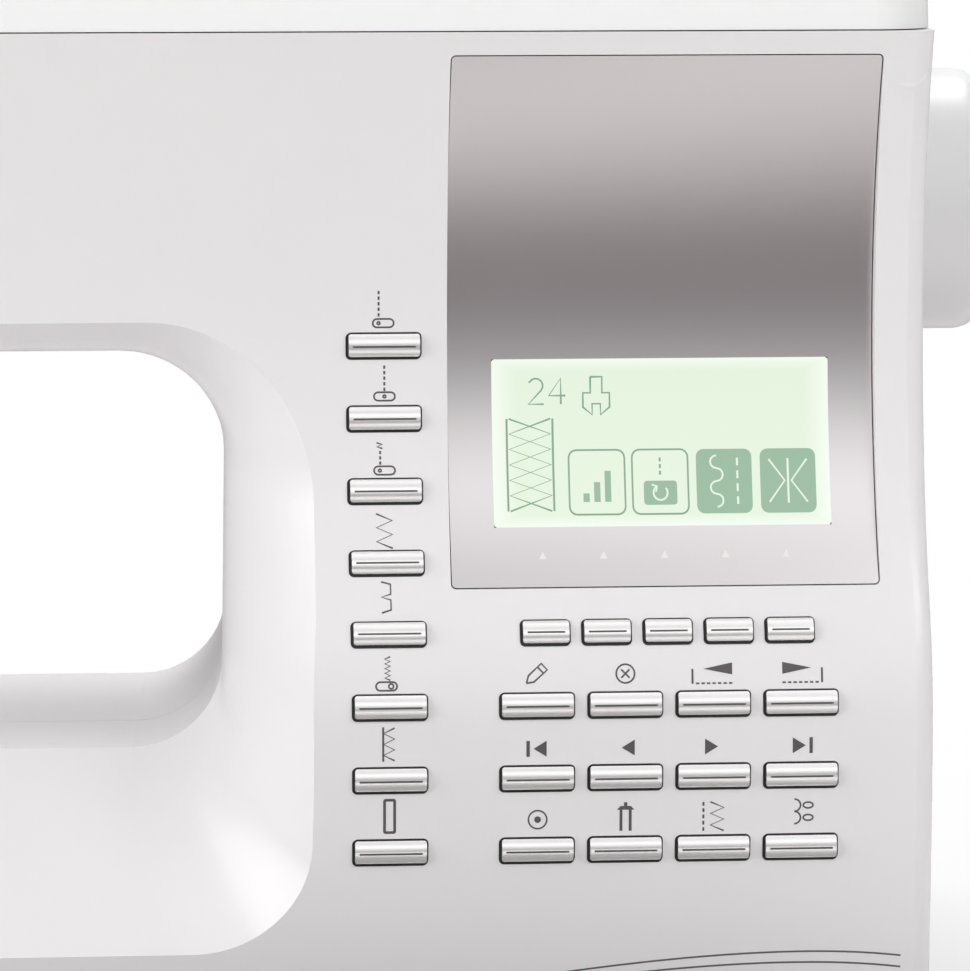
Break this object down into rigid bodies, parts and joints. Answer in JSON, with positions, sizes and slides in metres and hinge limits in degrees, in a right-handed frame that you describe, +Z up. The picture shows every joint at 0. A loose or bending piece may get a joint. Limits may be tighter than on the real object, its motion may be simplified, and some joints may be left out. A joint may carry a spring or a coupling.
{
  "type": "sewing machine",
  "caption": "Computerised household sewing machine with a free arm, a slide-off extension table, a lidded arm, a concave display panel and rows of bar-shaped push buttons.",
  "frame": {"origin": "under the middle of the whole machine, on the surface that it stands on", "axes": "+X towards the handwheel end, -Y towards the user, +Z up"},
  "size_m": [0.421, 0.1815, 0.293],
  "materials": {
    "cover_white": "smooth satin moulded white",
    "lid_white": "glossy moulded white",
    "panel_silver": "satin silver paint with a fine horizontal grain",
    "key_silver": "satin silver caps",
    "wheel_grey": "smooth light grey",
    "dark_plastic": "fine matt black",
    "tray_grey": "matt grey",
    "board_green": "satin circuit board",
    "casting": "as cast, machined bores",
    "bright_steel": "polished plated steel",
    "ground_steel": "ground and brushed steel",
    "rubber_dark": "matt black rubber",
    "clear_plastic": "clear moulded plastic, faintly tinted"
  },
  "bodies": {
    "root": {"front_cover": "cover_white", "rear_cover": "cover_white", "base_tray": "tray_grey", "rubber_feet": "rubber_dark", "cover_screws": "bright_steel", "display_panel": "panel_silver", "display_module": "board_green", "frame_casting": "casting", "motor": "ground_steel", "drive_belts": "rubber_dark", "needle_plate": "ground_steel", "spool_pin": "tray_grey", "power_inlet": "dark_plastic"},
    "wheel_and_shaft": {"handwheel": "wheel_grey", "main_shaft": "ground_steel"},
    "needle_bar": {"needle_bar": "bright_steel", "needle": "bright_steel"},
    "motor_pulley": {"motor_pulley": "ground_steel"},
    "lower_shaft": {"lower_shaft": "ground_steel"},
    "rotary_hook": {"rotary_hook": "bright_steel"},
    "bobbin": {"bobbin": "clear_plastic"},
    "take_up_lever": {"take_up_lever": "bright_steel"},
    "presser_bar": {"presser_bar": "bright_steel"},
    "presser_foot": {"presser_foot": "bright_steel"},
    "presser_lifter": {"presser_lifter": "dark_plastic"},
    "bobbin_cover": {"bobbin_cover": "clear_plastic"},
    "feed_dogs": {"feed_dogs": "ground_steel"},
    "bobbin_winder": {"bobbin_winder": "dark_plastic"},
    "tension_dial": {"tension_dial": "wheel_grey"},
    "top_lid": {"top_lid": "lid_white"},
    "extension_table": {"extension_table": "cover_white"},
    "power_switch": {"power_switch": "dark_plastic"},
    "speed_slider": {"speed_slider": "key_silver"},
    "start_stop_button": {"start_stop_button": "key_silver"},
    "reverse_button": {"reverse_button": "key_silver"},
    "stitch_button_1": {"stitch_button_1": "key_silver"},
    "stitch_button_2": {"stitch_button_2": "key_silver"},
    "stitch_button_3": {"stitch_button_3": "key_silver"},
    "stitch_button_4": {"stitch_button_4": "key_silver"},
    "stitch_button_5": {"stitch_button_5": "key_silver"},
    "stitch_button_6": {"stitch_button_6": "key_silver"},
    "stitch_button_7": {"stitch_button_7": "key_silver"},
    "stitch_button_8": {"stitch_button_8": "key_silver"},
    "soft_key_1": {"soft_key_1": "key_silver"},
    "soft_key_2": {"soft_key_2": "key_silver"},
    "soft_key_3": {"soft_key_3": "key_silver"},
    "soft_key_4": {"soft_key_4": "key_silver"},
    "soft_key_5": {"soft_key_5": "key_silver"},
    "function_button_1": {"function_button_1": "key_silver"},
    "function_button_2": {"function_button_2": "key_silver"},
    "function_button_3": {"function_button_3": "key_silver"},
    "function_button_4": {"function_button_4": "key_silver"},
    "function_button_5": {"function_button_5": "key_silver"},
    "function_button_6": {"function_button_6": "key_silver"},
    "function_button_7": {"function_button_7": "key_silver"},
    "function_button_8": {"function_button_8": "key_silver"},
    "function_button_9": {"function_button_9": "key_silver"},
    "function_button_10": {"function_button_10": "key_silver"},
    "function_button_11": {"function_button_11": "key_silver"},
    "function_button_12": {"function_button_12": "key_silver"}
  },
  "joints": [
    {"name": "handwheel_turn", "type": "hinge", "parent": "root", "child": "wheel_and_shaft", "pos_m": [0, 0.002, 0.2015], "axis": [1, 0, 0], "continuous": true},
    {"name": "motor_pulley_turn", "type": "hinge", "parent": "root", "child": "motor_pulley", "pos_m": [0, -0.01, 0.09], "axis": [1, 0, 0], "continuous": true},
    {"name": "lower_shaft_turn", "type": "hinge", "parent": "root", "child": "lower_shaft", "pos_m": [0, 0.008, 0.044], "axis": [1, 0, 0], "continuous": true},
    {"name": "hook_turn", "type": "hinge", "parent": "root", "child": "rotary_hook", "pos_m": [-0.15, -0.017, 0], "axis": [0, 0, 1], "continuous": true},
    {"name": "bobbin_spin", "type": "hinge", "parent": "root", "child": "bobbin", "pos_m": [-0.15, -0.017, 0], "axis": [0, 0, 1], "continuous": true},
    {"name": "take_up_swing", "type": "hinge", "parent": "root", "child": "take_up_lever", "pos_m": [0, 0.024, 0.178], "axis": [1, 0, 0], "range_deg": [0, 40]},
    {"name": "needle_bar_stroke", "type": "slide", "parent": "root", "child": "needle_bar", "axis": [0, 0, 1], "range_m": [-0.03, 0]},
    {"name": "presser_lifter_swing", "type": "hinge", "parent": "root", "child": "presser_lifter", "pos_m": [0, 0.03, 0.14], "axis": [-1, 0, 0], "range_deg": [0, 50]},
    {"name": "presser_bar_lower", "type": "slide", "parent": "root", "child": "presser_bar", "axis": [0, 0, 1], "range_m": [-0.006, 0]},
    {"name": "presser_foot_tilt", "type": "hinge", "parent": "presser_bar", "child": "presser_foot", "pos_m": [0, 0.012, 0.085], "axis": [-1, 0, 0], "range_deg": [0, 8]},
    {"name": "lid_hinge", "type": "hinge", "parent": "root", "child": "top_lid", "pos_m": [0, 0.08775, 0.251], "axis": [-1, 0, 0], "range_deg": [0, 95]},
    {"name": "extension_table_slide", "type": "slide", "parent": "root", "child": "extension_table", "axis": [-1, 0, 0], "range_m": [0, 0.175]},
    {"name": "bobbin_cover_lift", "type": "slide", "parent": "root", "child": "bobbin_cover", "axis": [0, 0, 1], "range_m": [0, 0.005]},
    {"name": "feed_dogs_feed", "type": "slide", "parent": "root", "child": "feed_dogs", "axis": [0, 1, 0], "range_m": [-0.0015, 0.0015]},
    {"name": "bobbin_winder_shift", "type": "slide", "parent": "root", "child": "bobbin_winder", "axis": [1, 0, 0], "range_m": [0, 0.005]},
    {"name": "tension_dial_turn", "type": "hinge", "parent": "root", "child": "tension_dial", "pos_m": [-0.132, -0.038, 0.244], "axis": [1, 0, 0], "range_deg": [-150, 150]},
    {"name": "power_switch_rock", "type": "hinge", "parent": "root", "child": "power_switch", "pos_m": [0.1805, 0.06, 0.062], "axis": [0, 1, 0], "range_deg": [-9, 9]},
    {"name": "speed_slide", "type": "slide", "parent": "root", "child": "speed_slider", "axis": [1, 0, 0], "range_m": [-0.012, 0.012]},
    {"name": "stitch_button_1_press", "type": "slide", "parent": "root", "child": "stitch_button_1", "axis": [0, 0.9994, -0.0335], "range_m": [0, 0.0008], "stiffness_N_per_m": 200},
    {"name": "stitch_button_2_press", "type": "slide", "parent": "root", "child": "stitch_button_2", "axis": [0, 0.9912, -0.1321], "range_m": [0, 0.0008], "stiffness_N_per_m": 200},
    {"name": "stitch_button_3_press", "type": "slide", "parent": "root", "child": "stitch_button_3", "axis": [0, 0.9733, -0.2295], "range_m": [0, 0.0008], "stiffness_N_per_m": 200},
    {"name": "stitch_button_4_press", "type": "slide", "parent": "root", "child": "stitch_button_4", "axis": [0, 0.9459, -0.3245], "range_m": [0, 0.0008], "stiffness_N_per_m": 200},
    {"name": "stitch_button_5_press", "type": "slide", "parent": "root", "child": "stitch_button_5", "axis": [0, 0.9429, -0.3331], "range_m": [0, 0.0008], "stiffness_N_per_m": 200},
    {"name": "stitch_button_6_press", "type": "slide", "parent": "root", "child": "stitch_button_6", "axis": [0, 0.9942, -0.1077], "range_m": [0, 0.0008], "stiffness_N_per_m": 200},
    {"name": "stitch_button_7_press", "type": "slide", "parent": "root", "child": "stitch_button_7", "axis": [0, 0.9999, 0.0154], "range_m": [0, 0.0008], "stiffness_N_per_m": 200},
    {"name": "stitch_button_8_press", "type": "slide", "parent": "root", "child": "stitch_button_8", "axis": [0, 0.999, 0.0443], "range_m": [0, 0.0008], "stiffness_N_per_m": 200},
    {"name": "soft_key_1_press", "type": "slide", "parent": "root", "child": "soft_key_1", "axis": [0, 0.9429, -0.3331], "range_m": [0, 0.0008], "stiffness_N_per_m": 200},
    {"name": "soft_key_2_press", "type": "slide", "parent": "root", "child": "soft_key_2", "axis": [0, 0.9429, -0.3331], "range_m": [0, 0.0008], "stiffness_N_per_m": 200},
    {"name": "soft_key_3_press", "type": "slide", "parent": "root", "child": "soft_key_3", "axis": [0, 0.9429, -0.3331], "range_m": [0, 0.0008], "stiffness_N_per_m": 200},
    {"name": "soft_key_4_press", "type": "slide", "parent": "root", "child": "soft_key_4", "axis": [0, 0.9429, -0.3331], "range_m": [0, 0.0008], "stiffness_N_per_m": 200},
    {"name": "soft_key_5_press", "type": "slide", "parent": "root", "child": "soft_key_5", "axis": [0, 0.9429, -0.3331], "range_m": [0, 0.0008], "stiffness_N_per_m": 200},
    {"name": "function_button_1_press", "type": "slide", "parent": "root", "child": "function_button_1", "axis": [0, 0.9942, -0.1077], "range_m": [0, 0.0008], "stiffness_N_per_m": 200},
    {"name": "function_button_2_press", "type": "slide", "parent": "root", "child": "function_button_2", "axis": [0, 0.9942, -0.1077], "range_m": [0, 0.0008], "stiffness_N_per_m": 200},
    {"name": "function_button_3_press", "type": "slide", "parent": "root", "child": "function_button_3", "axis": [0, 0.9942, -0.1077], "range_m": [0, 0.0008], "stiffness_N_per_m": 200},
    {"name": "function_button_4_press", "type": "slide", "parent": "root", "child": "function_button_4", "axis": [0, 0.9942, -0.1077], "range_m": [0, 0.0008], "stiffness_N_per_m": 200},
    {"name": "function_button_5_press", "type": "slide", "parent": "root", "child": "function_button_5", "axis": [0, 0.9999, 0.0154], "range_m": [0, 0.0008], "stiffness_N_per_m": 200},
    {"name": "function_button_6_press", "type": "slide", "parent": "root", "child": "function_button_6", "axis": [0, 0.9999, 0.0154], "range_m": [0, 0.0008], "stiffness_N_per_m": 200},
    {"name": "function_button_7_press", "type": "slide", "parent": "root", "child": "function_button_7", "axis": [0, 0.9999, 0.0154], "range_m": [0, 0.0008], "stiffness_N_per_m": 200},
    {"name": "function_button_8_press", "type": "slide", "parent": "root", "child": "function_button_8", "axis": [0, 0.9999, 0.0154], "range_m": [0, 0.0008], "stiffness_N_per_m": 200},
    {"name": "function_button_9_press", "type": "slide", "parent": "root", "child": "function_button_9", "axis": [0, 0.999, 0.0443], "range_m": [0, 0.0008], "stiffness_N_per_m": 200},
    {"name": "function_button_10_press", "type": "slide", "parent": "root", "child": "function_button_10", "axis": [0, 0.999, 0.0443], "range_m": [0, 0.0008], "stiffness_N_per_m": 200},
    {"name": "function_button_11_press", "type": "slide", "parent": "root", "child": "function_button_11", "axis": [0, 0.999, 0.0443], "range_m": [0, 0.0008], "stiffness_N_per_m": 200},
    {"name": "function_button_12_press", "type": "slide", "parent": "root", "child": "function_button_12", "axis": [0, 0.999, 0.0443], "range_m": [0, 0.0008], "stiffness_N_per_m": 200},
    {"name": "start_stop_button_press", "type": "slide", "parent": "root", "child": "start_stop_button", "axis": [0, 0.9852, -0.1713], "range_m": [0, 0.0008], "stiffness_N_per_m": 200},
    {"name": "reverse_button_press", "type": "slide", "parent": "root", "child": "reverse_button", "axis": [0, 0.9852, -0.1713], "range_m": [0, 0.0008], "stiffness_N_per_m": 200}
  ],
  "couplings": [
    {"joint": "motor_pulley_turn", "follows": "handwheel_turn", "ratio": 3.1111},
    {"joint": "lower_shaft_turn", "follows": "handwheel_turn", "ratio": 1},
    {"joint": "hook_turn", "follows": "handwheel_turn", "ratio": 2},
    {"joint": "needle_bar_stroke", "follows": "take_up_swing", "m_per_rad": -0.042972},
    {"joint": "presser_lifter_swing", "follows": "presser_bar_lower", "rad_per_m": -145.4}
  ]
}
